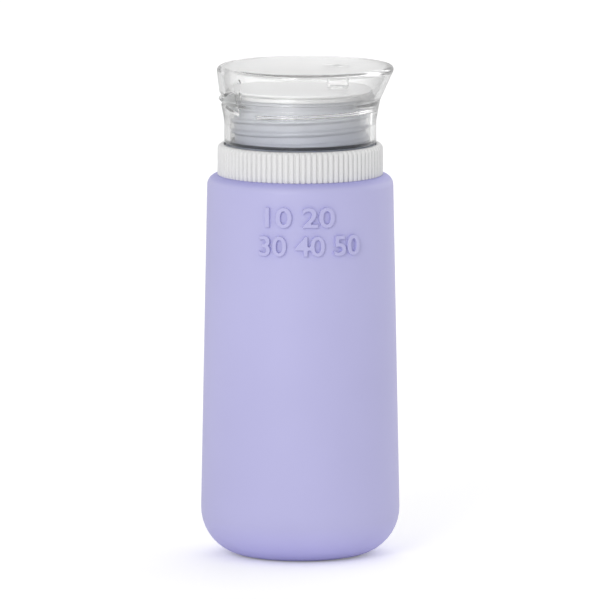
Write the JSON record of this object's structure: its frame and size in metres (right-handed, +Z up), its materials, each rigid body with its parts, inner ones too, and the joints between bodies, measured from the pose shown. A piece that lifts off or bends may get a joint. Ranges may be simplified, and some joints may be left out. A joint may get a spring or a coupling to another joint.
{
  "type": "travel bottle",
  "caption": "Soft silicone squeeze bottle with a ribbed collar and a clear screw cap with a hinged flip lid.",
  "frame": {"origin": "centre of the base, on the surface that the bottle stands on", "axes": "+Z up along the bottle's axis, +X towards the pouring side, the cap's hinge is at -X"},
  "size_m": [0.0452, 0.0452, 0.1118],
  "materials": {
    "silicone": "matt lavender",
    "white_plastic": "white satin",
    "frosted_plastic": "frosted grey",
    "clear_plastic": "clear gloss",
    "soft_seal": "milky"
  },
  "bodies": {
    "bottle": {"squeeze_body": "silicone", "neck_insert": "frosted_plastic", "grip_collar": "white_plastic"},
    "gasket": {"neck_gasket": "soft_seal"},
    "cap": {"cap_base": "clear_plastic", "drip_valve": "soft_seal", "valve_retainer": "frosted_plastic", "living_hinge": "clear_plastic"},
    "lid": {"flip_lid": "clear_plastic"}
  },
  "joints": [
    {"name": "cap_lift", "type": "slide", "parent": "bottle", "child": "gasket", "axis": [0, 0, 1], "range_m": [0, 0.00725]},
    {"name": "cap_turn", "type": "hinge", "parent": "gasket", "child": "cap", "pos_m": [0, 0, 0.10435], "axis": [0, 0, 1], "range_deg": [0, 900]},
    {"name": "lid_flip", "type": "hinge", "parent": "cap", "child": "lid", "pos_m": [-0.01818, 0, 0.10435], "axis": [0, -1, 0], "range_deg": [0, 150], "deforming": ["living_hinge"]}
  ],
  "couplings": [
    {"joint": "cap_turn", "follows": "cap_lift", "rad_per_m": 2166.6}
  ]
}
